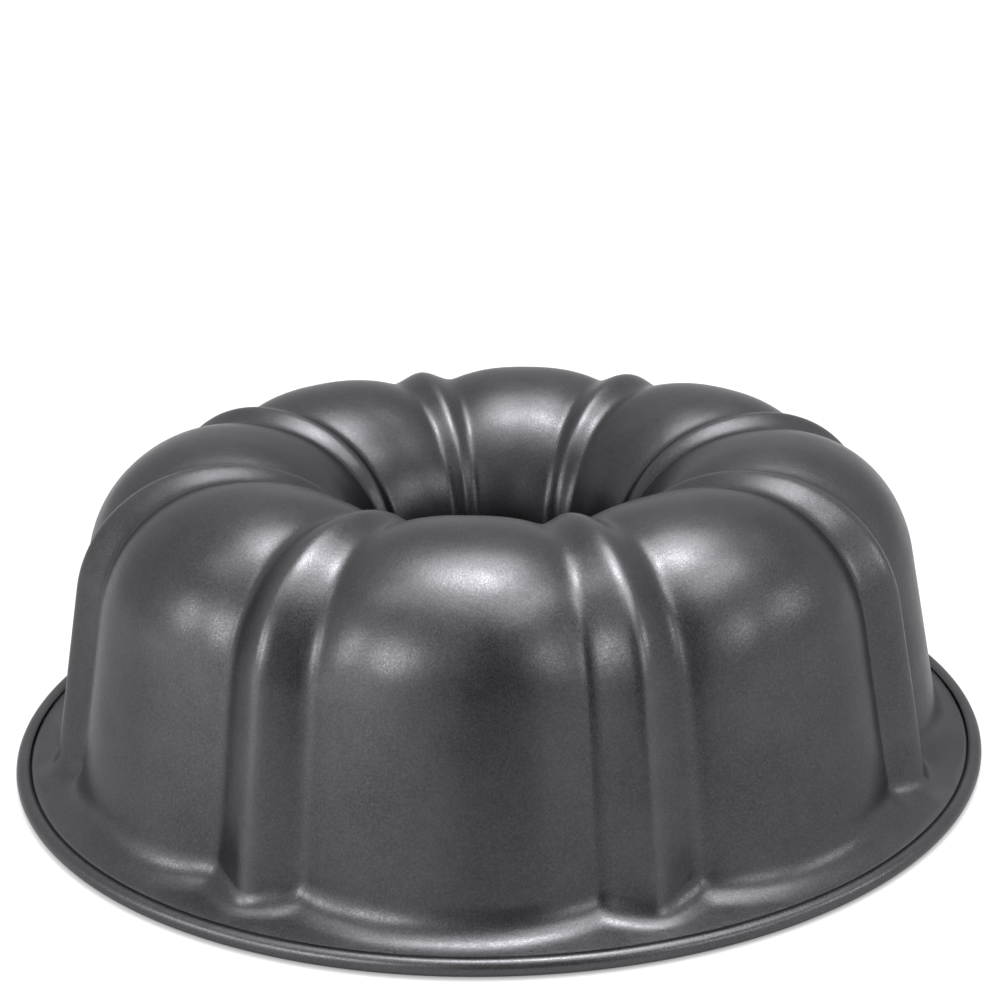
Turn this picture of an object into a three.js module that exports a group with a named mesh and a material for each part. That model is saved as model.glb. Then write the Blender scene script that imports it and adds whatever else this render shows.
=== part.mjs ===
import * as THREE from 'three';

// A fluted ring mould of coated sheet steel, standing upside down on its rim.
// Eight cushion lobes alternate with eight roof-shaped ribs that climb the wall, run over
// the crown and go down into the throat. Millimetres, +Z towards the crown, origin at the
// centre of the rim plane, first rib on +X.

// Overall sizes
const RIM_DIAMETER = 260;
const HEIGHT = 80.7;
const SHEET = 0.7;

// Rolled rim with its wire, and the flange inside it
const BEAD_DIAMETER = 4.1;
const BEAD_LAND = 1.2;
const CURL_EDGE_ANGLE = 138;
const WIRE_CLEARANCE = 0.3;
const NECK_BEND = 0.9;
const FLANGE_TILT = 12;
const FLANGE_WIDTH = 10;

// Flutes: the rib pattern, then how rib ridge and valley stand against the lobe
const RIB_COUNT = 8;
const RIB_ANGLE = 11.8;
const WALL_DRAFT = 11;
const RIDGE_PROUD = 1;
const VALLEY_SET_BACK = 4.6;
const VALLEY_DROP = 3.6;
const VALLEY_THROAT_DEPTH = 3.2;
const LOBE_POWER = 2.6;

// Foot of the wall: how far its curve reaches along the flange and up the wall
const LOBE_FOOT = { reach: 5.8, rise: 6.5 };
const RIDGE_FOOT = { reach: 3, rise: 3.2 };
const VALLEY_FOOT = { reach: 6, rise: 5 };

// Shoulder, crown and throat
const CROWN_SHARE = 0.482;
const SHOULDER_HEIGHT = 28;
const LOBE_FULLNESS = 0.56;
const RIB_FULLNESS = 0.54;
const THROAT_FULLNESS = 0.46;
const THROAT_RISE = 31;

// Lock seam between the body and the centre tube, and the tube below it
const COLLAR_RADIUS = 32.5;
const COLLAR_HEIGHT = 8;
const SEAM_LEVEL = 30;
const SEAM_HOOK = 3.5;
const SEAM_CLEARANCE = 0.3;
const TUBE_END_RADIUS = 25;
const TUBE_END_LEVEL = 4;
const TUBE_BEND = 4;
const HEM_LENGTH = 3;
const HEM_GAP = 0.4;

// Facets
const RIB_STATIONS = [0, 0.5, 1];
const LOBE_STATIONS = [0.15, 0.5, 1];
const TUBE_SIDES = 48;
const WIRE_SIDES = 6;

const radians = THREE.MathUtils.degToRad;
const point = (r, z) => new THREE.Vector2(r, z);

const rimRadius = RIM_DIAMETER / 2;
const beadRadius = BEAD_DIAMETER / 2;
const beadCentre = rimRadius - beadRadius;
const landAngle = THREE.MathUtils.radToDeg(Math.asin(BEAD_LAND / BEAD_DIAMETER));
const beadLevel = beadRadius * Math.cos(radians(landAngle));
const curlRadius = beadRadius - SHEET;
const flangeEdge = beadCentre - curlRadius - NECK_BEND;
const flangeLevel = beadLevel + NECK_BEND;
const wallBase = rimRadius - FLANGE_WIDTH;
const crownRadius = THREE.MathUtils.lerp(COLLAR_RADIUS, wallBase, CROWN_SHARE);
const collarTop = SEAM_LEVEL + COLLAR_HEIGHT;

// The seam nests four layers of sheet: each fold leaves room for one layer and two clearances
const foldInner = SHEET / 2 + SEAM_CLEARANCE;
const foldOuter = foldInner + SHEET;

// Three meridian lines guide the fluted wall: lobe centre, rib ridge and the valley between
const LOBE = {
  base: wallBase,
  apex: HEIGHT,
  fullness: LOBE_FULLNESS,
  throatDepth: 0,
  foot: LOBE_FOOT,
};
const RIDGE = {
  base: wallBase + RIDGE_PROUD,
  apex: HEIGHT,
  fullness: RIB_FULLNESS,
  throatDepth: 0,
  foot: RIDGE_FOOT,
};
const VALLEY = {
  base: wallBase - VALLEY_SET_BACK,
  apex: HEIGHT - VALLEY_DROP,
  fullness: RIB_FULLNESS,
  throatDepth: VALLEY_THROAT_DEPTH,
  foot: VALLEY_FOOT,
};

const line = (from, to) => new THREE.LineCurve(from, to);

const arc = (r, z, radius, fromDegrees, toDegrees) =>
  new THREE.EllipseCurve(
    r, z, radius, radius, radians(fromDegrees), radians(toDegrees), toDegrees < fromDegrees,
  );

// The rolled rim, from the sheet's raw edge round the wire, over the flat land that the
// mould stands on and up the neck to the flange. Only the face towards the wire is drawn.
function rimCurves() {
  const curl = (fromDegrees, toDegrees) => arc(beadCentre, beadLevel, curlRadius, fromDegrees, toDegrees);
  return [
    { curve: curl(CURL_EDGE_ANGLE, landAngle - 90), steps: 5 },
    { curve: curl(landAngle - 90, -landAngle - 90), steps: 1 },
    { curve: curl(-landAngle - 90, -180), steps: 2 },
    { curve: arc(flangeEdge, beadLevel, NECK_BEND, 0, 90), steps: 2 },
  ];
}

// One meridian of the fluted wall: flange, foot, drafted wall, shoulder and throat
function wallCurves(guide) {
  const tilt = Math.tan(radians(FLANGE_TILT));
  const lean = Math.tan(radians(WALL_DRAFT));
  const onFlange = (r) => point(r, flangeLevel + (flangeEdge - r) * tilt);
  const onWall = (z) => point(guide.base - z * lean, z);

  const cornerLevel = (flangeLevel + (flangeEdge - guide.base) * tilt) / (1 - lean * tilt);
  const corner = onWall(cornerLevel);
  const flangeEnd = onFlange(corner.x + guide.foot.reach);
  const wallFoot = onWall(corner.y + guide.foot.rise);
  const wallTop = onWall(guide.apex - SHOULDER_HEIGHT);

  const apex = point(crownRadius, guide.apex);
  const shoulderUp = SHOULDER_HEIGHT * guide.fullness;
  const shoulderOut = (wallTop.x - crownRadius) * guide.fullness;
  const throatIn = (crownRadius - COLLAR_RADIUS) * THROAT_FULLNESS;
  const collar = point(COLLAR_RADIUS, collarTop);
  return [
    { curve: line(onFlange(flangeEdge), flangeEnd), steps: 1 },
    {
      curve: new THREE.QuadraticBezierCurve(flangeEnd, corner, wallFoot),
      steps: 4,
      ribRounding: (along) => 1 - along,
    },
    { curve: line(wallFoot, wallTop), steps: 1 },
    {
      curve: new THREE.CubicBezierCurve(
        wallTop,
        point(wallTop.x - shoulderUp * lean, wallTop.y + shoulderUp),
        point(crownRadius + shoulderOut, guide.apex),
        apex,
      ),
      steps: 5,
    },
    {
      curve: new THREE.CubicBezierCurve(
        apex,
        point(crownRadius - throatIn, guide.apex),
        point(COLLAR_RADIUS + guide.throatDepth, collarTop + THROAT_RISE),
        collar,
      ),
      steps: 6,
    },
  ];
}

// The body's half of the lock seam: a straight collar, turned up outwards into a hook
function collarCurves() {
  const hookRadius = COLLAR_RADIUS + 2 * foldOuter;
  return [
    { curve: line(point(COLLAR_RADIUS, collarTop), point(COLLAR_RADIUS, SEAM_LEVEL)), steps: 1 },
    { curve: arc(COLLAR_RADIUS + foldOuter, SEAM_LEVEL, foldOuter, 180, 360), steps: 3 },
    { curve: line(point(hookRadius, SEAM_LEVEL), point(hookRadius, SEAM_LEVEL + SEAM_HOOK)), steps: 1 },
  ];
}

const meridian = (guide) => [...rimCurves(), ...wallCurves(guide), ...collarCurves()];

const lobeLine = meridian(LOBE);
const ridgeLine = meridian(RIDGE);
const valleyLine = meridian(VALLEY);

const pitch = (2 * Math.PI) / RIB_COUNT;
const ribHalf = radians(RIB_ANGLE / 2);
const lobeHalf = pitch / 2 - ribHalf;

// Rise of the lobe between valley (0) and centre (1): flat in the middle, rolled at the edge
function cushion(across) {
  return 1 - (1 - across) ** LOBE_POWER;
}

// Rise of a rib between ridge (0) and valley (1): two straight roof faces on the wall, and a
// rounded tongue where the rib runs out on the flange
function roof(across, rounding) {
  return 1 - across ** (1 + rounding);
}

// A point of the body's outside: the three guide lines blended by the place in the pattern
function bodyPoint(section, along, azimuth) {
  const fromRidge = Math.abs(azimuth - Math.round(azimuth / pitch) * pitch);
  const meridianPoint = valleyLine[section].curve.getPoint(along);
  if (fromRidge < ribHalf) {
    const ridge = ridgeLine[section];
    const rise = roof(fromRidge / ribHalf, ridge.ribRounding?.(along) ?? 0);
    meridianPoint.lerp(ridge.curve.getPoint(along), rise);
  } else {
    const rise = cushion((fromRidge - ribHalf) / lobeHalf);
    meridianPoint.lerp(lobeLine[section].curve.getPoint(along), rise);
  }
  const { x: r, y: z } = meridianPoint;
  return new THREE.Vector3(r * Math.cos(azimuth), r * Math.sin(azimuth), z);
}

// Outward normal from short steps along and across the surface
function bodyNormal(section, along, azimuth) {
  const step = 1e-3;
  const before = Math.max(along - step, 0);
  const after = Math.min(along + step, 1);
  const up = bodyPoint(section, after, azimuth).sub(bodyPoint(section, before, azimuth));
  const round = bodyPoint(section, along, azimuth + step).sub(bodyPoint(section, along, azimuth - step));
  return round.cross(up).normalize();
}

// Facet columns from each ridge over the valley to the lobe's centre and down the far side
function columnAzimuths() {
  const rising = [
    ...RIB_STATIONS.map((across) => across * ribHalf),
    ...LOBE_STATIONS.map((across) => ribHalf + across * lobeHalf),
  ];
  const falling = rising.slice(1, -1).reverse().map((offset) => pitch - offset);
  const azimuths = [];
  for (let rib = 0; rib < RIB_COUNT; rib += 1) {
    [...rising, ...falling].forEach((offset) => azimuths.push(rib * pitch + offset));
  }
  return azimuths;
}

const columns = columnAzimuths();
const tubeColumns = Array.from({ length: TUBE_SIDES }, (_, side) => (side / TUBE_SIDES) * 2 * Math.PI);

// Closed solid from rings of points that follow one another round a cross-section
function solidFromRings(rings) {
  const count = rings[0].length;
  const positions = rings.flat().flatMap((vertex) => vertex.toArray());
  const triangles = [];
  for (let row = 0; row < rings.length; row += 1) {
    const next = (row + 1) % rings.length;
    for (let column = 0; column < count; column += 1) {
      const beside = (column + 1) % count;
      const here = row * count + column;
      const hereBeside = row * count + beside;
      const there = next * count + column;
      const thereBeside = next * count + beside;
      triangles.push(here, hereBeside, thereBeside, here, thereBeside, there);
    }
  }
  const geometry = new THREE.BufferGeometry();
  geometry.setAttribute('position', new THREE.Float32BufferAttribute(positions, 3));
  geometry.setIndex(triangles);
  geometry.computeVertexNormals();
  return geometry;
}

// Stations along a run of curves, without repeating the point that two curves share
function stationsAlong(sections) {
  const stations = [{ section: 0, along: 0 }];
  sections.forEach(({ steps }, section) => {
    for (let step = 1; step <= steps; step += 1) {
      stations.push({ section, along: step / steps });
    }
  });
  return stations;
}

// The drawn body: outside face from raw edge to seam hook, then back along the inside face
function bodyGeometry() {
  const stations = stationsAlong(lobeLine);
  const outside = stations.map(({ section, along }) =>
    columns.map((azimuth) => bodyPoint(section, along, azimuth)),
  );
  const inside = stations.map(({ section, along }, row) =>
    columns.map((azimuth, column) =>
      outside[row][column].clone().addScaledVector(bodyNormal(section, along, azimuth), -SHEET),
    ),
  );
  return solidFromRings([...outside, ...inside.reverse()]);
}

const ringAt = ({ x: r, y: z }, azimuths) =>
  azimuths.map((azimuth) => new THREE.Vector3(r * Math.cos(azimuth), r * Math.sin(azimuth), z));

// Sheet of even thickness turned about the axis: the line drawn, and its other side to the left
function turnedSheet(sections, azimuths) {
  const stations = stationsAlong(sections);
  const drawn = stations.map(({ section, along }) => sections[section].curve.getPoint(along));
  const other = stations.map(({ section, along }, index) => {
    const tangent = sections[section].curve.getTangent(along);
    return point(drawn[index].x - tangent.y * SHEET, drawn[index].y + tangent.x * SHEET);
  });
  return solidFromRings([...drawn, ...other.reverse()].map((corner) => ringAt(corner, azimuths)));
}

// The centre tube: a hook that hangs in the body's hook, the fold over it, a cone down to
// the free end and a hem that turns the raw edge back on the cake side
function tubeGeometry() {
  const foldLevel = SEAM_LEVEL + SEAM_HOOK + SEAM_CLEARANCE;
  const foldCentre = COLLAR_RADIUS + foldOuter + foldInner + SHEET / 2;
  const hookRadius = foldCentre - foldInner;
  const wallRadius = foldCentre + foldInner;
  const wallEnd = point(wallRadius, SEAM_LEVEL - foldOuter - SEAM_CLEARANCE);
  const hemRadius = HEM_GAP / 2 + SHEET;
  const endLevel = TUBE_END_LEVEL + hemRadius;
  const hemTop = endLevel + HEM_LENGTH;
  const endBend = point(TUBE_END_RADIUS, hemTop + TUBE_BEND);
  const bend = point(wallRadius, wallEnd.y - TUBE_BEND);
  const fall = endBend.clone().sub(bend).normalize();
  const coneStart = bend.clone().addScaledVector(fall, TUBE_BEND);
  const coneEnd = endBend.clone().addScaledVector(fall, -TUBE_BEND);
  const hemOuter = TUBE_END_RADIUS + 2 * hemRadius;
  return turnedSheet([
    { curve: line(point(hookRadius, SEAM_LEVEL + SEAM_CLEARANCE), point(hookRadius, foldLevel)), steps: 1 },
    { curve: arc(foldCentre, foldLevel, foldInner, 180, 0), steps: 3 },
    { curve: line(point(wallRadius, foldLevel), wallEnd), steps: 1 },
    { curve: new THREE.QuadraticBezierCurve(wallEnd, bend, coneStart), steps: 2 },
    { curve: line(coneStart, coneEnd), steps: 1 },
    { curve: new THREE.QuadraticBezierCurve(coneEnd, endBend, point(TUBE_END_RADIUS, hemTop)), steps: 2 },
    { curve: line(point(TUBE_END_RADIUS, hemTop), point(TUBE_END_RADIUS, endLevel)), steps: 1 },
    { curve: arc(TUBE_END_RADIUS + hemRadius, endLevel, hemRadius, 180, 360), steps: 3 },
    { curve: line(point(hemOuter, endLevel), point(hemOuter, hemTop)), steps: 1 },
  ], tubeColumns);
}

// The rim wire, a plain ring in the bead
function wireGeometry() {
  const wireRadius = curlRadius - WIRE_CLEARANCE;
  const section = arc(beadCentre, beadLevel, wireRadius, 0, 360);
  const rings = [];
  for (let side = 0; side < WIRE_SIDES; side += 1) {
    rings.push(ringAt(section.getPoint(side / WIRE_SIDES), columns));
  }
  return solidFromRings(rings);
}

function finish(color, roughness, metalness) {
  return new THREE.MeshStandardMaterial({ color, roughness, metalness });
}

function piece(name, geometry, material) {
  const mesh = new THREE.Mesh(geometry, material);
  mesh.name = name;
  return mesh;
}

const mould = new THREE.Group();
mould.add(piece('fluted_body', bodyGeometry(), finish(0x4a4a4c, 0.42, 0.55)));
mould.add(piece('centre_tube', tubeGeometry(), finish(0x464648, 0.42, 0.55)));
mould.add(piece('rim_wire', wireGeometry(), finish(0x8c8f92, 0.35, 0.9)));

export default mould;
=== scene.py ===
import math

import bpy
import numpy as np
from bpy.props import FloatProperty, FloatVectorProperty, IntProperty, PointerProperty
from bpy.types import Operator, Panel, PropertyGroup
from mathutils import Matrix, Vector


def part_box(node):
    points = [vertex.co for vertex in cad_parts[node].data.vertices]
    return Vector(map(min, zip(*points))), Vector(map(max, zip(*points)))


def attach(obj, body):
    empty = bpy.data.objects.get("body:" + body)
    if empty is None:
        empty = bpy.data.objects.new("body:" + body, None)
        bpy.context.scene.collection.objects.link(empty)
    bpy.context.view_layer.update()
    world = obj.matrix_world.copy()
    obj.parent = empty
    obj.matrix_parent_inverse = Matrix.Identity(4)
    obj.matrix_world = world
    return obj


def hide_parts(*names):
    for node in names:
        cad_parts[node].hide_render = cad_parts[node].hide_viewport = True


bl_info = {
    "name": "Fluted Ring Mould",
    "version": (1, 0, 0),
    "blender": (4, 5, 0),
    "location": "View3D > Sidebar > Mould",
    "description": "Builds a fluted ring cake mould in dark coated sheet steel, with its studio",
    "category": "Object",
}

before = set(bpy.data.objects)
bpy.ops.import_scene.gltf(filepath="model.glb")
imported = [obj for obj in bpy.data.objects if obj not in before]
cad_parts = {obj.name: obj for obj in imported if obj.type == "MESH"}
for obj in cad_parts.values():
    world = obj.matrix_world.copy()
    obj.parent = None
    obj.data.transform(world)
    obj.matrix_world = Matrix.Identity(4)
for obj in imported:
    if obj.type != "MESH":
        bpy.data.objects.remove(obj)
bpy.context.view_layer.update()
BODY_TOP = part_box("fluted_body")[1].z
MM = 0.001
# Mesh rows of a guide meridian, section by section from the rim to the collar
FLANGE_ROWS, FOOT_ROWS, WALL_ROWS, SHOULDER_ROWS, THROAT_ROWS = 3, 14, 8, 26, 24
# Mesh rows of the rim's curl and neck, of a fold in a seam or hem, and of the tube's bends and cone
CURL_ROWS, NECK_ROWS, FOLD_ROWS, BEND_ROWS, CONE_ROWS = 14, 5, 8, 8, 6
# Mesh columns of half a rib, of a lobe's rolled edge and of the rest of half a lobe
RIB_COLUMNS, EDGE_COLUMNS, LOBE_COLUMNS = 9, 7, 10
# Share of half a lobe that is its rolled edge
LOBE_EDGE = 0.22
# Fine columns of one rib and lobe, in which they are blurred
BLUR_COLUMNS = 2048
# Mesh columns round the turned tube and the wire, and round the wire's section
TUBE_COLUMNS, WIRE_COLUMNS, WIRE_ROWS = 192, 288, 16
# Range that holds most values of a noise, and the share of each finer layer in it
NOISE_LOW, NOISE_HIGH = 0.3, 0.7
NOISE_ROUGHNESS = 0.6
# Ranges of the mottle and of the grain over which one tone turns into the other
MOTTLE_LOW, MOTTLE_HIGH = 0.35, 0.65
GRAIN_LOW, GRAIN_HIGH = 0.4, 0.8
WAVE_STRENGTH, PEBBLE_STRENGTH = 0.35, 0.5
# Darkest tone and least and most roughness of the wire's streaks
WIRE_SHADE = 0.7
WIRE_SMOOTH, WIRE_ROUGH = 0.25, 0.42
# Softboxes: name, bearing from the camera and elevation in degrees, half angles in degrees, metres away
SOFTBOXES = (
    ("overhead", 160, 86, (10, 5.5), 3.0),
    ("overhead_edge", 170, 79, (20, 20), 3.0),
    ("overhead_back", 165, 68, (13, 13), 3.0),
    ("overhead_front", 0, 75, (16, 9), 3.0),
    ("front_right", 45, 62, (12, 9), 3.0),
    ("overhead_right", 85, 62, (11, 11), 3.0),
    ("overhead_left", -85, 62, (11, 11), 3.0),
    ("left", -41, 25.5, (11, 9), 3.0),
    ("left_side", -70, 23, (7, 9), 3.0),
    ("right", 47, 25, (11, 9), 3.0),
    ("right_side", 81, 23, (6, 7), 3.0),
    ("left_board", -58, 0, (30, 7.5), 0.36),
)
# Dark card in front: bearing from the camera in degrees, then metres away, half its width and its height
FRONT_CARD = (5, 0.42, 0.125, 0.5)
LAMP_TARGET = Vector((0.0, 0.0, 0.05))
WHITE = (1.0, 1.0, 1.0, 1.0)
STAGE_GREY = (0.35, 0.35, 0.35, 1.0)
FLOOR_REACH = 8.0
FLOOR_GAP = 0.15 * MM
FLOOR_ROUGHNESS = 0.9
# The floor's glow: from one distance to another it rises from a low level to full
FLOOR_GLOWS = ((0.3, 0.9, 0.55), (0.127, 0.13, 0.0))
WORLD_FILL = 0.15
SENSOR_WIDTH = 36.0


def length(label, text, millimetres):
    """A length property, given in millimetres and kept in metres."""
    return FloatProperty(
        name=label, description=text, default=millimetres * MM, min=0.0, unit="LENGTH", precision=5
    )


def angle(label, text, degrees):
    """An angle property, given in degrees and kept in radians."""
    return FloatProperty(name=label, description=text, default=math.radians(degrees), subtype="ANGLE")


def share(label, text, value):
    """A plain share between 0 and 1."""
    return FloatProperty(name=label, description=text, default=value, min=0.0, max=1.0, subtype="FACTOR")


def colour(label, text, value):
    """A linear colour property."""
    return FloatVectorProperty(
        name=label, description=text, default=value, size=3, min=0.0, max=1.0, subtype="COLOR"
    )


def glow(label, text, value):
    """Brightness of a lamp's face, where 1 is the white of the surroundings."""
    return FloatProperty(name=label, description=text, default=value, min=0.0)


class MouldShape(PropertyGroup):
    """Sizes of the pressed body, its rolled rim and its centre tube"""

    height: FloatProperty(
        name="Height", description="Rim plane to the top of the crown", default=BODY_TOP, unit="LENGTH"
    )
    rim_diameter: length("Rim diameter", "Over the rolled rim", 260)
    sheet: length("Sheet", "Thickness of the sheet with its coating", 0.7)
    bead_diameter: length("Bead diameter", "Outside of the rolled rim", 4.1)
    bead_land: length("Bead land", "Width of the flat under the bead", 1.2)
    curl_edge: angle("Curl edge", "Where round the wire the sheet's raw edge stops", 138)
    wire_clearance: length("Wire clearance", "Gap between wire and curl", 0.3)
    neck_bend: length("Neck bend", "Radius of the bend from bead to flange", 0.9)
    flange_tilt: angle("Flange tilt", "Rise of the flange towards the wall", 12)
    flange_width: length("Flange width", "Rim edge to the foot of a lobe's wall", 10)
    rib_count: IntProperty(name="Ribs", description="Ribs round the mould", default=8, min=3)
    rib_angle: angle("Rib angle", "Valley to valley across one rib", 11.8)
    draft: angle("Draft", "Lean of the wall", 11)
    ridge_proud: length("Ridge proud", "Ridge in front of the lobes", 1)
    valley_set_back: length("Valley set back", "Valley behind the lobes", 4.6)
    valley_drop: length("Valley drop", "Valley below the crown", 3.6)
    valley_throat_depth: length("Valley throat depth", "Valley behind the lobe in the throat", 3.2)
    lobe_power: FloatProperty(
        name="Lobe power", description="Higher for a lobe flatter in its middle", default=2.6, min=2.0
    )
    wall_rounding: angle("Wall rounding", "Rounding of ridges and valleys on the wall", 0.55)
    crown_rounding: angle("Crown rounding", "Rounding of ridges and valleys over the crown", 1.1)
    lobe_foot_reach: length("Lobe foot reach", "Foot curve along the flange", 5.8)
    lobe_foot_rise: length("Lobe foot rise", "Foot curve up the wall", 6.5)
    ridge_foot_reach: length("Ridge foot reach", "Foot curve along the flange", 3)
    ridge_foot_rise: length("Ridge foot rise", "Foot curve up the ridge", 3.2)
    valley_foot_reach: length("Valley foot reach", "Foot curve along the flange", 6)
    valley_foot_rise: length("Valley foot rise", "Foot curve up the valley", 5)
    crown_share: share("Crown share", "Way from the collar to the wall where the crown is highest", 0.482)
    shoulder_height: length("Shoulder height", "Crown down to the straight wall", 28)
    lobe_fullness: share("Lobe fullness", "Squareness of a lobe's shoulder", 0.56)
    rib_fullness: share("Rib fullness", "Squareness of a rib's shoulder", 0.54)
    throat_fullness: share("Throat fullness", "Squareness of the crown's inner side", 0.46)
    throat_rise: length("Throat rise", "Straightness of the throat above the collar", 31)
    collar_radius: length("Collar radius", "Inside of the straight collar above the seam", 32.5)
    collar_height: length("Collar height", "Seam to the top of the collar", 8)
    seam_level: length("Seam level", "Height of the lock seam", 30)
    seam_hook: length("Seam hook", "Length of the seam's hooks", 3.5)
    seam_clearance: length("Seam clearance", "Gap between the seam's layers", 0.3)
    tube_end_radius: length("Tube end radius", "Inside of the tube's free end", 25)
    tube_end_level: length("Tube end level", "Height of the tube's free end", 4)
    tube_bend: length("Tube bend", "Length of the bends into and out of the cone", 4)
    hem_length: length("Hem length", "Length of the hem at the free end", 3)
    hem_gap: length("Hem gap", "Gap inside the hem", 0.4)


class MouldFinish(PropertyGroup):
    """Colours and grain of the coating and of the wire"""

    coat: colour("Coat", "Dark grey of the non-stick coating", (0.048, 0.048, 0.052))
    coat_pale: colour("Pale coat", "Where the coating is sprayed thinner", (0.062, 0.062, 0.0662))
    fleck: colour("Fleck", "Metal flecks in the coating", (0.135, 0.135, 0.14))
    # Paler tone on the ridges, rim and flange: partly wear, partly a painted highlight
    wear_and_sheen: colour("Worn", "Coating rubbed on the ridges and the rim", (0.115, 0.115, 0.121))
    # Painted shade: a darker tone down the throat, darkest at the given distance below the crown
    throat: colour("Throat", "Thicker, darker coating down the throat", (0.024, 0.024, 0.026))
    throat_shade_fade: length("Throat fade", "Depth below the crown where the throat's coating is darkest", 45)
    tube_coat: colour("Tube coat", "Coating of the centre tube", (0.048, 0.048, 0.052))
    edge_tint: colour("Edge tint", "Brightness of the coating seen at a shallow angle", (0.7, 0.7, 0.71))
    wire: colour("Wire", "Drawn steel of the rim wire", (0.44, 0.45, 0.46))
    roughness: share("Roughness", "Satin of the coating", 0.31)
    smear_gloss: share("Smear gloss", "Change of roughness over the patches", 0.03)
    smooth_fleck: share("Smooth fleck", "Roughness that a smooth fleck takes off", 0.11)
    rough_fleck: share("Rough fleck", "Roughness that a rough fleck adds", 0.17)
    fleck_share: share("Fleck share", "Most that the flecks show", 0.4)
    # Shares of that paler tone, which is partly wear and partly a painted highlight
    rim_rub_and_sheen: share("Rim rub", "How far the rim is rubbed", 0.5)
    flange_rub_and_sheen: share("Flange rub", "How far the flange is rubbed", 0.1)
    ridge_rub_and_sheen: share("Ridge rub", "How far the ridges on the wall are rubbed; the crown's are fully", 0.4)
    ridge_sheen_edge: share("Ridge rub edge", "Share of the ridge where the rub begins", 0.6)
    inside_rub_and_sheen: share("Inside rub", "Rub of the inside against the outside", 0.4)
    tube_rub_and_sheen: share("Tube rub", "How far the centre tube is rubbed", 0.1)
    # Painted shade on the centre tube, as a share of the dark throat tone
    tube_shade: share("Tube depth", "How dark the centre tube's coating is", 0.5)
    wave_height: length("Wave height", "Height of the slow waves in the coating", 0.4)
    pebble_height: length("Pebble height", "Height of the pebbled grain", 0.05)
    streak_size: length("Streak size", "Size of the wire's streaks", 0.6)
    grain_size: length("Grain size", "Size of the fine grain", 0.5)
    fleck_size: length("Fleck size", "Size of the metal flecks", 0.16)
    smear_size: length("Smear size", "Size of the patches of more and less gloss", 7)
    mottle_size: length("Mottle size", "Size of the slow unevenness", 24)


class MouldStudio(PropertyGroup):
    """Camera and lamps"""

    turn: angle("Turn", "Camera's bearing round the mould, from the front rib", -16.037)
    elevation: angle("Elevation", "Camera's height above the horizon", 24.87)
    distance: length("Distance", "Camera to the centre of the rim plane", 484.15)
    pan: angle("Pan", "Turn of the lens to the right of the rim's centre", 2.196)
    tilt: angle("Tilt", "Turn of the lens above the rim's centre", 7.064)
    roll: angle("Roll", "Turn of the camera about its lens", -1.462)
    focal_length: FloatProperty(name="Focal length", description="On a 36 mm square sensor", default=61.885)
    shift: FloatProperty(name="Shift", description="Sideways shift of the frame", default=-0.0641)
    overhead: glow("Overhead", "Middle of the overhead softbox", 26)
    overhead_edge: glow("Overhead edge", "Soft surround of the overhead softbox", 5.0)
    overhead_back: glow("Overhead back", "Ceiling behind the mould", 1.3)
    overhead_front: glow("Overhead front", "Front edge of the overhead softbox", 2.6)
    front_right: glow("Front right", "High board in front on the right", 4.6)
    overhead_right: glow("Overhead right", "Ceiling on the right", 4.6)
    overhead_left: glow("Overhead left", "Ceiling on the left", 2.7)
    left: glow("Left", "Softbox in front on the left", 10.4)
    left_side: glow("Left side", "Softbox on the left", 9.5)
    right: glow("Right", "Softbox in front on the right", 3.8)
    right_side: glow("Right side", "Softbox on the right", 8)
    left_board: glow("Left board", "Low white board beside the mould on the left", 0.9)


def bezier(points, along):
    """Points of a Bezier curve, by stepping the same share along each leg again and again."""
    legs = [np.asarray(point, float)[None, :] for point in points]
    along = along[:, None]
    while len(legs) > 1:
        legs = [start + (end - start) * along for start, end in zip(legs, legs[1:])]
    return np.broadcast_to(legs[0], (len(along), 2))


def arc(centre, radius, start, end, along):
    """Points of a circle about a centre, from one angle to another."""
    turn = start + (end - start) * along
    return np.stack([centre[0] + radius * np.cos(turn), centre[1] + radius * np.sin(turn)], axis=-1)


def stations(steps, first=False):
    """Even shares along one section; only a first section has its own start."""
    return np.linspace(0.0, 1.0, steps + 1)[0 if first else 1 :]


def rim_levels(shape):
    """Radii and heights that the bead, the neck and the flange share."""
    bead = shape.bead_diameter / 2
    land = math.asin(shape.bead_land / shape.bead_diameter)
    curl = bead - shape.sheet
    centre = np.array([shape.rim_diameter / 2 - bead, bead * math.cos(land)])
    flange = np.array([centre[0] - curl - shape.neck_bend, centre[1] + shape.neck_bend])
    return centre, curl, land, flange


def rim_line(shape):
    """The rolled rim's face towards the wire: an arc from the raw edge to the flat land, the land, an arc
    up the inner side and a reversed bend into the flange."""
    centre, curl, land, flange = rim_levels(shape)
    down = -math.pi / 2
    return np.concatenate(
        [
            arc(centre, curl, shape.curl_edge, down + land, stations(CURL_ROWS, first=True)),
            arc(centre, curl, down + land, down - land, stations(1)),
            arc(centre, curl, down - land, -math.pi, stations(NECK_ROWS)),
            arc((flange[0], centre[1]), shape.neck_bend, 0.0, math.pi / 2, stations(NECK_ROWS)),
        ]
    )


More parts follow.
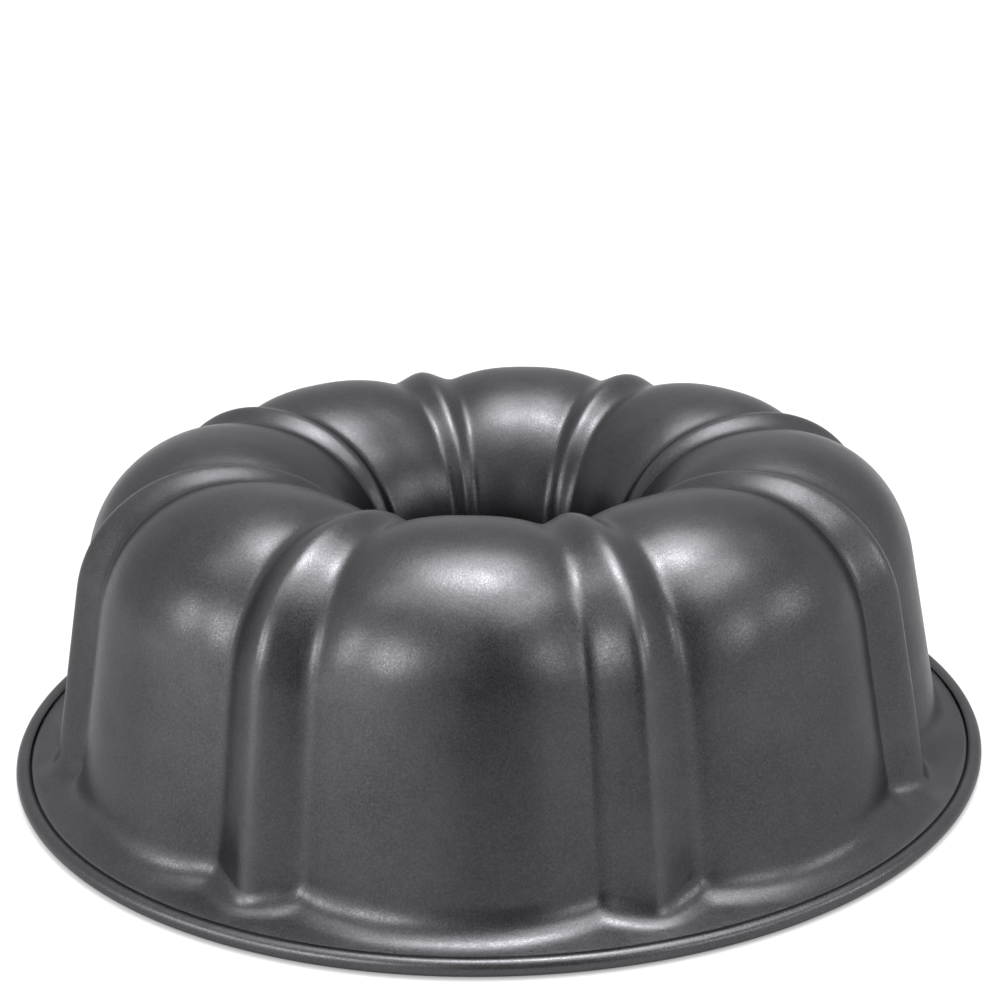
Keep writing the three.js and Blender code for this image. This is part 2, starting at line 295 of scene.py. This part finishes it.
def wall_line(shape, base, apex, fullness, throat_depth, foot):
    """One guide meridian of the fluted wall: a straight flange, a quadratic foot, the straight drafted
    wall, a cubic shoulder up to the crown and a cubic throat down to the collar."""
    flange = rim_levels(shape)[3]
    tilt = math.tan(shape.flange_tilt)
    lean = math.tan(shape.draft)
    crown = shape.collar_radius + (wall_base(shape) - shape.collar_radius) * shape.crown_share
    collar_top = shape.seam_level + shape.collar_height
    level = (flange[1] + (flange[0] - base) * tilt) / (1 - lean * tilt)
    corner = np.array([base - level * lean, level])
    reach, rise = foot
    flange_end = corner + np.array([reach, -reach * tilt])
    wall_foot = corner + np.array([-rise * lean, rise])
    top = apex - shape.shoulder_height
    wall_top = np.array([base - top * lean, top])
    up = shape.shoulder_height * fullness
    out = (wall_top[0] - crown) * fullness
    inwards = (crown - shape.collar_radius) * shape.throat_fullness
    return np.concatenate(
        [
            bezier([flange, flange_end], stations(FLANGE_ROWS)),
            bezier([flange_end, corner, wall_foot], stations(FOOT_ROWS)),
            bezier([wall_foot, wall_top], stations(WALL_ROWS)),
            bezier(
                [wall_top, wall_top + (-up * lean, up), (crown + out, apex), (crown, apex)],
                stations(SHOULDER_ROWS),
            ),
            bezier(
                [
                    (crown, apex),
                    (crown - inwards, apex),
                    (shape.collar_radius + throat_depth, collar_top + shape.throat_rise),
                    (shape.collar_radius, collar_top),
                ],
                stations(THROAT_ROWS),
            ),
        ]
    )


def wall_base(shape):
    """Radius of a lobe's wall where it would meet the rim plane."""
    return shape.rim_diameter / 2 - shape.flange_width


def foot_rounding():
    """How far the rib is bowed into a tongue on each row of the wall: fully on the flange, and less and
    less up the foot."""
    above = np.zeros(WALL_ROWS + SHOULDER_ROWS + THROAT_ROWS)
    return np.concatenate([np.ones(FLANGE_ROWS), 1 - stations(FOOT_ROWS), above])


def crown_rows():
    """How far each row of the wall has come over the shoulder to the crown."""
    below = np.zeros(FLANGE_ROWS + FOOT_ROWS + WALL_ROWS)
    return np.concatenate([below, stations(SHOULDER_ROWS), np.ones(THROAT_ROWS)])


def ridge_rounding(shape):
    """Width of the rounding on each row: small on the wall, growing over the shoulder to the crown."""
    return shape.wall_rounding + (shape.crown_rounding - shape.wall_rounding) * crown_rows()


def seam_folds(shape):
    """Inner and outer radius of the seam's folds: one layer of sheet and two clearances fit in each."""
    inner = shape.sheet / 2 + shape.seam_clearance
    return inner, inner + shape.sheet


def collar_line(shape):
    """The straight collar, a half circle outwards and a hook upwards."""
    fold = seam_folds(shape)[1]
    radius = shape.collar_radius
    level = shape.seam_level
    hook = radius + 2 * fold
    return np.concatenate(
        [
            bezier([(radius, level + shape.collar_height), (radius, level)], stations(2)),
            arc((radius + fold, level), fold, math.pi, 2 * math.pi, stations(FOLD_ROWS)),
            bezier([(hook, level), (hook, level + shape.seam_hook)], stations(1)),
        ]
    )


def body_azimuths(shape):
    """Bearings of the mesh columns: close together on the ribs and on the rolled edges of the lobes, wider
    over the lobes."""
    pitch = 2 * math.pi / shape.rib_count
    valley = shape.rib_angle / 2
    edge = valley + (pitch / 2 - valley) * LOBE_EDGE
    half = np.concatenate(
        [
            np.linspace(0.0, valley, RIB_COLUMNS, endpoint=False),
            np.linspace(valley, edge, EDGE_COLUMNS, endpoint=False),
            np.linspace(edge, pitch / 2, LOBE_COLUMNS, endpoint=False),
        ]
    )
    mirrored = pitch - np.concatenate([half[1:], [pitch / 2]])[::-1]
    one = np.concatenate([half, mirrored])
    return (np.arange(shape.rib_count)[:, None] * pitch + one).ravel()


def pattern_shares(shape, azimuths):
    """Shares of the ridge line and of the lobe line in the surface. Away from the ridge, the ridge's share
    falls in a straight line to nothing at the valley, bowed to a power where the rib runs out, and the
    lobe's share is one less a power of the way still left to the lobe's centre.
    Both are blurred round the ring by a Gaussian as wide as the row's rounding."""
    pitch = 2 * math.pi / shape.rib_count
    valley = shape.rib_angle / 2
    fine = np.linspace(0.0, pitch, BLUR_COLUMNS, endpoint=False)
    away = np.minimum(fine, pitch - fine)
    on_rib = np.clip(away / valley, 0.0, 1.0)
    on_lobe = np.clip((away - valley) / (pitch / 2 - valley), 0.0, 1.0)
    ridge = 1 - on_rib[None, :] ** (1 + foot_rounding()[:, None])
    lobe = 1 - (1 - on_lobe[None, :]) ** shape.lobe_power
    waves = np.fft.rfftfreq(len(fine), fine[1])
    blur = np.exp(-2 * (math.pi * ridge_rounding(shape)[:, None] * waves) ** 2)
    ridge = np.fft.irfft(np.fft.rfft(ridge) * blur, len(fine))
    lobe = np.fft.irfft(np.fft.rfft(lobe) * blur, len(fine))
    place = np.mod(azimuths, pitch) / fine[1]
    before = np.floor(place).astype(int) % len(fine)
    after = (before + 1) % len(fine)
    part = place - np.floor(place)
    ridge = ridge[:, before] * (1 - part) + ridge[:, after] * part
    lobe = lobe[:, before] * (1 - part) + lobe[:, after] * part
    return ridge, lobe


def ring_points(line, azimuths):
    """A line of radii and heights, or one such line for each bearing, turned to points round the axis."""
    radius = line[..., 0] if line.ndim == 3 else line[:, None, 0]
    level = line[..., 1] if line.ndim == 3 else line[:, None, 1]
    level = np.broadcast_to(level, (len(line), len(azimuths)))
    return np.stack([radius * np.cos(azimuths), radius * np.sin(azimuths), level], axis=-1)


def outward_normals(points, azimuths):
    """Unit normals of a surface of rings: the slope round the ring crossed with the slope from ring to
    ring, each taken by differences over true distances."""
    steps = np.linalg.norm(np.diff(points[:, 0], axis=0), axis=-1)
    along = np.concatenate([[0.0], np.cumsum(steps)])
    up = np.gradient(points, along, axis=0)
    bearing = np.concatenate([[azimuths[-1] - 2 * math.pi], azimuths, [azimuths[0] + 2 * math.pi]])
    wrapped = np.concatenate([points[:, -1:], points, points[:, :1]], axis=1)
    around = np.gradient(wrapped, bearing, axis=1)[:, 1:-1]
    normal = np.cross(around, up)
    return normal / np.linalg.norm(normal, axis=-1, keepdims=True)


def ring_mesh(name, rings, sharp_rows=()):
    """Closed smooth mesh of quads from rings of points, the last ring joined to the first. The rings named
    in sharp_rows are hard edges."""
    rows, columns = rings.shape[:2]
    index = np.arange(rows * columns).reshape(rows, columns)
    beside = np.roll(index, -1, axis=1)
    quads = np.stack([index, beside, np.roll(beside, -1, axis=0), np.roll(index, -1, axis=0)], axis=-1)
    mesh = bpy.data.meshes.new(name)
    mesh.vertices.add(rows * columns)
    mesh.vertices.foreach_set("co", rings.astype(np.float32).ravel())
    mesh.loops.add(quads.size)
    mesh.loops.foreach_set("vertex_index", quads.astype(np.int32).ravel())
    mesh.polygons.add(rows * columns)
    mesh.polygons.foreach_set("loop_start", np.arange(0, quads.size, 4, dtype=np.int32))
    mesh.update(calc_edges=True)
    mesh.polygons.foreach_set("use_smooth", np.ones(rows * columns, dtype=bool))
    ends = np.empty(len(mesh.edges) * 2, dtype=np.int32)
    mesh.edges.foreach_get("vertices", ends)
    row_of_end = ends.reshape(-1, 2) // columns
    hard = (row_of_end[:, 0] == row_of_end[:, 1]) & np.isin(row_of_end[:, 0], sharp_rows)
    mesh.attributes.new("sharp_edge", "BOOLEAN", "EDGE").data.foreach_set("value", hard)
    mesh.validate()
    return mesh


def add_piece(name, mesh, node, material):
    """Links a finished piece that rides on the mould and stands for one CAD node."""
    mesh.materials.append(material)
    piece = bpy.data.objects.new(name, mesh)
    bpy.context.scene.collection.objects.link(piece)
    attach(piece, "root")
    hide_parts(node)


def set_share(mesh, name, values):
    """Keeps on each point how much of something its coating has, from 0 to 1."""
    mesh.attributes.new(name, "FLOAT", "POINT").data.foreach_set("value", values.astype(np.float32).ravel())


def sheet_rings(outside, inside):
    """Outside rings, then the inside rings back to the start, and the rings of the two raw edges."""
    rings = np.concatenate([outside, inside[::-1]])
    count = len(outside)
    return rings, [0, count - 1, count, 2 * count - 1]


def turned_sheet(line, sheet, azimuths):
    """Sheet of even thickness turned about the axis: the line drawn, and the same line moved one sheet to
    its left."""
    along = np.concatenate([[0.0], np.cumsum(np.linalg.norm(np.diff(line, axis=0), axis=-1))])
    slope = np.gradient(line, along, axis=0)
    slope /= np.linalg.norm(slope, axis=-1, keepdims=True)
    left = line + sheet * np.stack([-slope[:, 1], slope[:, 0]], axis=-1)
    return sheet_rings(ring_points(line, azimuths), ring_points(left, azimuths))


def new_material(name):
    """An empty node material with its shader and output joined."""
    material = bpy.data.materials.new(name)
    material.use_nodes = True
    nodes = material.node_tree.nodes
    return material, nodes, material.node_tree.links, nodes["Principled BSDF"]


def add_node(nodes, kind, values, **settings):
    """A node with its settings and its input values."""
    node = nodes.new(kind)
    for key, value in settings.items():
        setattr(node, key, value)
    for key, value in values.items():
        node.inputs[key].default_value = value
    return node


def add_noise(nodes, links, coordinates, size, detail):
    """Noise with lumps of about the given size, on the piece's own coordinates."""
    values = {"Scale": 1 / size, "Detail": detail, "Roughness": NOISE_ROUGHNESS}
    noise = add_node(nodes, "ShaderNodeTexNoise", values)
    links.new(coordinates.outputs["Object"], noise.inputs["Vector"])
    return noise.outputs["Fac"]


def add_range(nodes, links, source, low, high, to_low, to_high):
    """A value moved from one range to another and kept inside it."""
    node = add_node(
        nodes,
        "ShaderNodeMapRange",
        {"From Min": low, "From Max": high, "To Min": to_low, "To Max": to_high},
    )
    links.new(source, node.inputs["Value"])
    return node.outputs["Result"]


def add_mix(nodes, links, factor, first, second):
    """A blend of two colours, each a colour or another node's output."""
    node = nodes.new("ShaderNodeMix")
    node.data_type = "RGBA"
    links.new(factor, node.inputs["Factor"])
    for name, value in (("A", first), ("B", second)):
        socket = next(s for s in node.inputs if s.name == name and s.type == "RGBA")
        if isinstance(value, bpy.types.NodeSocket):
            links.new(value, socket)
        else:
            socket.default_value = (*value, 1.0)
    return next(s for s in node.outputs if s.type == "RGBA")


def coating(name, finish, coat):
    """Dark non-stick coating: a slow mottle of two greys, metal flecks, a fine pebbled grain in the bump, a
    paler tone where it is rubbed, which is also a painted highlight on the ridges, rim and flange, and
    painted shade down the throat."""
    material, nodes, links, shader = new_material(name)
    place = nodes.new("ShaderNodeTexCoord")
    mottle = add_noise(nodes, links, place, finish.mottle_size, 4.0)
    smear = add_noise(nodes, links, place, finish.smear_size, 3.0)
    grain = add_noise(nodes, links, place, finish.grain_size, 3.0)
    flecks = add_noise(nodes, links, place, finish.fleck_size, 1.0)
    rub_and_sheen = add_node(nodes, "ShaderNodeAttribute", {}, attribute_name="rub_and_sheen")
    depth = add_node(nodes, "ShaderNodeAttribute", {}, attribute_name="depth")

    thin = add_range(nodes, links, mottle, MOTTLE_LOW, MOTTLE_HIGH, 0.0, 1.0)
    body = add_mix(nodes, links, thin, coat, finish.coat_pale)
    bright = add_range(nodes, links, grain, GRAIN_LOW, GRAIN_HIGH, 0.0, finish.fleck_share)
    body = add_mix(nodes, links, bright, body, finish.fleck)
    # Paler tone for wear, which is also a painted highlight on the ridges, rim and flange
    body = add_mix(nodes, links, rub_and_sheen.outputs["Fac"], body, finish.wear_and_sheen)
    # Painted shade: the darker tone down the throat and on the centre tube
    body = add_mix(nodes, links, depth.outputs["Fac"], body, finish.throat)
    links.new(body, shader.inputs["Base Color"])

    smooth, rough = finish.roughness - finish.smear_gloss, finish.roughness + finish.smear_gloss
    gloss = add_range(nodes, links, smear, NOISE_LOW, NOISE_HIGH, smooth, rough)
    sparkle = add_range(
        nodes, links, flecks, NOISE_LOW, NOISE_HIGH, -finish.smooth_fleck, finish.rough_fleck
    )
    uneven = add_node(nodes, "ShaderNodeMath", {}, operation="ADD")
    links.new(gloss, uneven.inputs[0])
    links.new(sparkle, uneven.inputs[1])
    links.new(uneven.outputs[0], shader.inputs["Roughness"])
    shader.inputs["Metallic"].default_value = 1.0
    shader.inputs["Specular Tint"].default_value = (*finish.edge_tint, 1.0)

    waves = add_node(nodes, "ShaderNodeBump", {"Strength": WAVE_STRENGTH, "Distance": finish.wave_height})
    links.new(mottle, waves.inputs["Height"])
    pebbles = add_node(
        nodes, "ShaderNodeBump", {"Strength": PEBBLE_STRENGTH, "Distance": finish.pebble_height}
    )
    links.new(grain, pebbles.inputs["Height"])
    links.new(waves.outputs["Normal"], pebbles.inputs["Normal"])
    links.new(pebbles.outputs["Normal"], shader.inputs["Normal"])
    return material


def drawn_steel(name, finish):
    """Bright drawn steel with fine uneven streaks."""
    material, nodes, links, shader = new_material(name)
    place = nodes.new("ShaderNodeTexCoord")
    streak = add_noise(nodes, links, place, finish.streak_size, 3.0)
    darker = tuple(WIRE_SHADE * value for value in finish.wire)
    links.new(add_mix(nodes, links, streak, darker, tuple(finish.wire)), shader.inputs["Base Color"])
    rough = add_range(nodes, links, streak, NOISE_LOW, NOISE_HIGH, WIRE_SMOOTH, WIRE_ROUGH)
    links.new(rough, shader.inputs["Roughness"])
    shader.inputs["Metallic"].default_value = 1.0
    return material


class MOULD_OT_fluted_body(Operator):
    """Press the fluted body: guide meridians blended round the ring, with the sheet's inside behind them"""

    bl_idname = "mould.fluted_body"
    bl_label = "Fluted body"

    def execute(self, context):
        shape = context.scene.mould_shape
        base = wall_base(shape)
        lobe = wall_line(
            shape, base, shape.height, shape.lobe_fullness, 0.0,
            (shape.lobe_foot_reach, shape.lobe_foot_rise),
        )
        ridge = wall_line(
            shape, base + shape.ridge_proud, shape.height, shape.rib_fullness, 0.0,
            (shape.ridge_foot_reach, shape.ridge_foot_rise),
        )
        valley = wall_line(
            shape, base - shape.valley_set_back, shape.height - shape.valley_drop, shape.rib_fullness,
            shape.valley_throat_depth, (shape.valley_foot_reach, shape.valley_foot_rise),
        )
        azimuths = body_azimuths(shape)
        ridge_share, lobe_share = pattern_shares(shape, azimuths)
        wall = valley[:, None] + ridge_share[..., None] * (ridge - valley)[:, None]
        wall = wall + lobe_share[..., None] * (lobe - valley)[:, None]
        rim = np.repeat(rim_line(shape)[:, None], len(azimuths), axis=1)
        collar = np.repeat(collar_line(shape)[:, None], len(azimuths), axis=1)
        outside = ring_points(np.concatenate([rim, wall, collar]), azimuths)
        inside = outside - shape.sheet * outward_normals(outside, azimuths)
        rings, sharp = sheet_rings(outside, inside)
        mesh = ring_mesh("fluted_body_sheet", rings, sharp)
        finish = context.scene.mould_finish
        # Wear and painted highlight on the ridge tops, fully over the crown, on the flange and on the rim
        ridge_wear_and_sheen = np.clip((ridge_share - finish.ridge_sheen_edge) / (1 - finish.ridge_sheen_edge), 0.0, 1.0)
        row_rub_and_sheen = finish.ridge_rub_and_sheen + (1 - finish.ridge_rub_and_sheen) * crown_rows()[:, None]
        wall_rub_and_sheen = np.maximum(row_rub_and_sheen * ridge_wear_and_sheen**2, finish.flange_rub_and_sheen * foot_rounding()[:, None])
        rim_rub_and_sheen = np.full(rim.shape[:2], finish.rim_rub_and_sheen)
        rub_and_sheen = np.concatenate([rim_rub_and_sheen, wall_rub_and_sheen, np.zeros(collar.shape[:2])])
        set_share(mesh, "rub_and_sheen", np.concatenate([rub_and_sheen, finish.inside_rub_and_sheen * rub_and_sheen[::-1]]))
        # Painted shade down the throat, darker further below the crown, none on the sheet's inside
        depth = np.clip((shape.height - outside[..., 2]) / finish.throat_shade_fade, 0.0, 1.0)
        depth[: len(rim) + len(wall) - THROAT_ROWS] = 0.0
        set_share(mesh, "depth", np.concatenate([depth, np.zeros(depth.shape)]))
        coat = coating("coated_sheet", finish, finish.coat)
        add_piece("fluted_body_sheet", mesh, "fluted_body", coat)
        return {"FINISHED"}


class MOULD_OT_centre_tube(Operator):
    """Turn the centre tube: a hook in the seam, the fold over it, a cone and a hemmed free end"""

    bl_idname = "mould.centre_tube"
    bl_label = "Centre tube"

    def execute(self, context):
        shape = context.scene.mould_shape
        inner, outer = seam_folds(shape)
        fold_level = shape.seam_level + shape.seam_hook + shape.seam_clearance
        fold_centre = shape.collar_radius + outer + inner + shape.sheet / 2
        hook, wall = fold_centre - inner, fold_centre + inner
        hook_level = shape.seam_level + shape.seam_clearance
        wall_end = np.array([wall, shape.seam_level - outer - shape.seam_clearance])
        hem = shape.hem_gap / 2 + shape.sheet
        end_level = shape.tube_end_level + hem
        hem_top = end_level + shape.hem_length
        end_radius = shape.tube_end_radius
        bend = wall_end - (0.0, shape.tube_bend)
        end_bend = np.array([end_radius, hem_top + shape.tube_bend])
        fall = (end_bend - bend) / np.linalg.norm(end_bend - bend) * shape.tube_bend
        hem_outer = end_radius + 2 * hem
        line = np.concatenate(
            [
                bezier([(hook, hook_level), (hook, fold_level)], stations(1, first=True)),
                arc((fold_centre, fold_level), inner, math.pi, 0.0, stations(FOLD_ROWS)),
                bezier([(wall, fold_level), wall_end], stations(3)),
                bezier([wall_end, bend, bend + fall], stations(BEND_ROWS)),
                bezier([bend + fall, end_bend - fall], stations(CONE_ROWS)),
                bezier([end_bend - fall, end_bend, (end_radius, hem_top)], stations(BEND_ROWS)),
                bezier([(end_radius, hem_top), (end_radius, end_level)], stations(2)),
                arc((end_radius + hem, end_level), hem, math.pi, 2 * math.pi, stations(FOLD_ROWS)),
                bezier([(hem_outer, end_level), (hem_outer, hem_top)], stations(2)),
            ]
        )
        azimuths = np.linspace(0.0, 2 * math.pi, TUBE_COLUMNS, endpoint=False)
        rings, sharp = turned_sheet(line, shape.sheet, azimuths)
        mesh = ring_mesh("centre_tube_sheet", rings, sharp)
        finish = context.scene.mould_finish
        # A little wear and painted highlight on the centre tube
        set_share(mesh, "rub_and_sheen", np.full(rings.shape[:2], finish.tube_rub_and_sheen))
        # Painted shade on the centre tube, a share of the dark throat tone
        set_share(mesh, "depth", np.full(rings.shape[:2], finish.tube_shade))
        coat = coating("coated_tube", finish, finish.tube_coat)
        add_piece("centre_tube_sheet", mesh, "centre_tube", coat)
        return {"FINISHED"}


class MOULD_OT_rim_wire(Operator):
    """Lay the round wire in the rolled rim"""

    bl_idname = "mould.rim_wire"
    bl_label = "Rim wire"

    def execute(self, context):
        shape = context.scene.mould_shape
        centre, curl = rim_levels(shape)[:2]
        around = np.linspace(0.0, 1.0, WIRE_ROWS, endpoint=False)
        section = arc(centre, curl - shape.wire_clearance, 0.0, 2 * math.pi, around)
        azimuths = np.linspace(0.0, 2 * math.pi, WIRE_COLUMNS, endpoint=False)
        mesh = ring_mesh("rim_wire_ring", ring_points(section, azimuths))
        steel = drawn_steel("wire_steel", context.scene.mould_finish)
        add_piece("rim_wire_ring", mesh, "rim_wire", steel)
        return {"FINISHED"}


def seen_rays(nodes, links):
    """1 for rays from the camera, from mirrors and through glass, 0 for those that only carry light."""
    path = nodes.new("ShaderNodeLightPath")
    total = path.outputs["Is Camera Ray"]
    for name in ("Is Glossy Ray", "Is Transmission Ray"):
        node = add_node(nodes, "ShaderNodeMath", {}, operation="MAXIMUM")
        links.new(total, node.inputs[0])
        links.new(path.outputs[name], node.inputs[1])
        total = node.outputs[0]
    return total


def studio_world(scene):
    """White surroundings where they are seen, and a soft grey fill where they only light."""
    world = bpy.data.worlds.new("studio_white")
    world.use_nodes = True
    nodes, links = world.node_tree.nodes, world.node_tree.links
    strength = add_range(nodes, links, seen_rays(nodes, links), 0.0, 1.0, WORLD_FILL, 1.0)
    links.new(strength, nodes["Background"].inputs["Strength"])
    nodes["Background"].inputs["Color"].default_value = WHITE
    scene.world = world


def studio_floor(scene):
    """A plain pale floor just under the rim. It glows where it is seen, fully away from the mould, about half
    as much beside it and not at all under it, so that the mould's shadow stays."""
    mesh = bpy.data.meshes.new("studio_floor")
    corners = [(x * FLOOR_REACH, y * FLOOR_REACH, 0.0) for x, y in ((-1, -1), (1, -1), (1, 1), (-1, 1))]
    mesh.from_pydata(corners, [], [(0, 1, 2, 3)])
    floor = bpy.data.objects.new("studio_floor", mesh)
    floor.location.z = -FLOOR_GAP
    scene.collection.objects.link(floor)
    material, nodes, links, shader = new_material("studio_floor")
    shader.inputs["Base Color"].default_value = STAGE_GREY
    shader.inputs["Roughness"].default_value = FLOOR_ROUGHNESS
    shader.inputs["Specular IOR Level"].default_value = 0.0
    shader.inputs["Emission Color"].default_value = WHITE
    place = nodes.new("ShaderNodeTexCoord")
    away = add_node(nodes, "ShaderNodeVectorMath", {}, operation="LENGTH")
    links.new(place.outputs["Object"], away.inputs[0])
    strength = seen_rays(nodes, links)
    for start, end, low in FLOOR_GLOWS:
        part = add_range(nodes, links, away.outputs["Value"], start, end, low, 1.0)
        both = add_node(nodes, "ShaderNodeMath", {}, operation="MULTIPLY")
        links.new(strength, both.inputs[0])
        links.new(part, both.inputs[1])
        strength = both.outputs[0]
    links.new(strength, shader.inputs["Emission Strength"])
    mesh.materials.append(material)


def softbox(scene, name, bearing, elevation, half_angles, distance, brightness):
    """A softbox or board on a bearing round the mould and an elevation, turned to the mould's middle. Its
    sides are given as the half angles that it fills, and its power follows from its brightness."""
    data = bpy.data.lights.new(name, "AREA")
    data.shape = "ELLIPSE"
    data.size, data.size_y = [2 * distance * math.tan(math.radians(half)) for half in half_angles]
    data.energy = brightness * math.pi * (math.pi / 4 * data.size * data.size_y)
    lamp = bpy.data.objects.new(name, data)
    flat = math.cos(elevation)
    away = Vector((flat * math.sin(bearing), -flat * math.cos(bearing), math.sin(elevation)))
    lamp.location = LAMP_TARGET + away * distance
    lamp.rotation_euler = away.to_track_quat("Z", "Y").to_euler()
    lamp.visible_camera = False
    scene.collection.objects.link(lamp)


def dark_card(scene, name, bearing, distance, half, top):
    """A tall dark board standing on a bearing round the mould, which only the mould's reflections see."""
    mesh = bpy.data.meshes.new(name)
    mesh.from_pydata([(-half, 0, 0), (half, 0, 0), (half, 0, top), (-half, 0, top)], [], [(0, 1, 2, 3)])
    card = bpy.data.objects.new(name, mesh)
    card.location = (distance * math.sin(bearing), -distance * math.cos(bearing), 0.0)
    card.rotation_euler.z = bearing
    card.visible_camera = card.visible_diffuse = card.visible_shadow = False
    scene.collection.objects.link(card)
    material, _, _, shader = new_material(name)
    shader.inputs["Base Color"].default_value = STAGE_GREY
    shader.inputs["Roughness"].default_value = 1.0
    mesh.materials.append(material)


def studio_camera(scene, studio):
    """The camera on its bearing and elevation, looking at the rim's centre and then panned, tilted and
    rolled about itself."""
    flat = math.cos(studio.elevation)
    place = Vector((0.0, -flat, math.sin(studio.elevation))) * studio.distance
    towards = -place.normalized()
    right = Vector((1.0, 0.0, 0.0))
    up = right.cross(towards)
    towards = (towards + math.tan(studio.pan) * right + math.tan(studio.tilt) * up).normalized()
    right = towards.cross(up).normalized()
    up = right.cross(towards)
    cosine, sine = math.cos(studio.roll), math.sin(studio.roll)
    right, up = cosine * right + sine * up, cosine * up - sine * right
    axes = Matrix((right, up, -towards)).transposed().to_4x4()
    data = bpy.data.cameras.new("studio_camera")
    data.sensor_width = SENSOR_WIDTH
    data.lens = studio.focal_length
    data.shift_x = studio.shift
    camera = bpy.data.objects.new("studio_camera", data)
    camera.matrix_world = Matrix.Rotation(studio.turn, 4, "Z") @ Matrix.Translation(place) @ axes
    scene.collection.objects.link(camera)
    scene.camera = camera


class MOULD_OT_studio(Operator):
    """Set up the pale floor, the softboxes, the dark card and the camera"""

    bl_idname = "mould.studio"
    bl_label = "Studio"

    def execute(self, context):
        scene = context.scene
        studio = scene.mould_studio
        scene.view_settings.view_transform = "Standard"
        studio_world(scene)
        studio_floor(scene)
        for name, bearing, elevation, half_angles, distance in SOFTBOXES:
            softbox(
                scene, name, studio.turn + math.radians(bearing), math.radians(elevation), half_angles,
                distance, getattr(studio, name),
            )
        bearing, *card_size = FRONT_CARD
        dark_card(scene, "front_card", studio.turn + math.radians(bearing), *card_size)
        studio_camera(scene, studio)
        return {"FINISHED"}


OPERATORS = (MOULD_OT_fluted_body, MOULD_OT_centre_tube, MOULD_OT_rim_wire, MOULD_OT_studio)
SETTINGS = (("mould_shape", MouldShape), ("mould_finish", MouldFinish), ("mould_studio", MouldStudio))


class VIEW3D_PT_mould(Panel):
    """The mould's settings and the operators that build it"""

    bl_label = "Fluted Ring Mould"
    bl_space_type = "VIEW_3D"
    bl_region_type = "UI"
    bl_category = "Mould"

    def draw(self, context):
        column = self.layout.column()
        for operator in OPERATORS:
            column.operator(operator.bl_idname)
        for attribute, group in SETTINGS:
            box = column.box()
            box.label(text=group.__doc__)
            for name in group.__annotations__:
                box.prop(getattr(context.scene, attribute), name)


CLASSES = (*[group for _, group in SETTINGS], *OPERATORS, VIEW3D_PT_mould)


def register():
    for item in CLASSES:
        bpy.utils.register_class(item)
    for attribute, group in SETTINGS:
        setattr(bpy.types.Scene, attribute, PointerProperty(type=group))


def unregister():
    for attribute, _ in SETTINGS:
        delattr(bpy.types.Scene, attribute)
    for item in reversed(CLASSES):
        bpy.utils.unregister_class(item)


def main():
    register()
    bpy.ops.mould.fluted_body()
    bpy.ops.mould.centre_tube()
    bpy.ops.mould.rim_wire()
    bpy.ops.mould.studio()


if __name__ == "__main__":
    main()
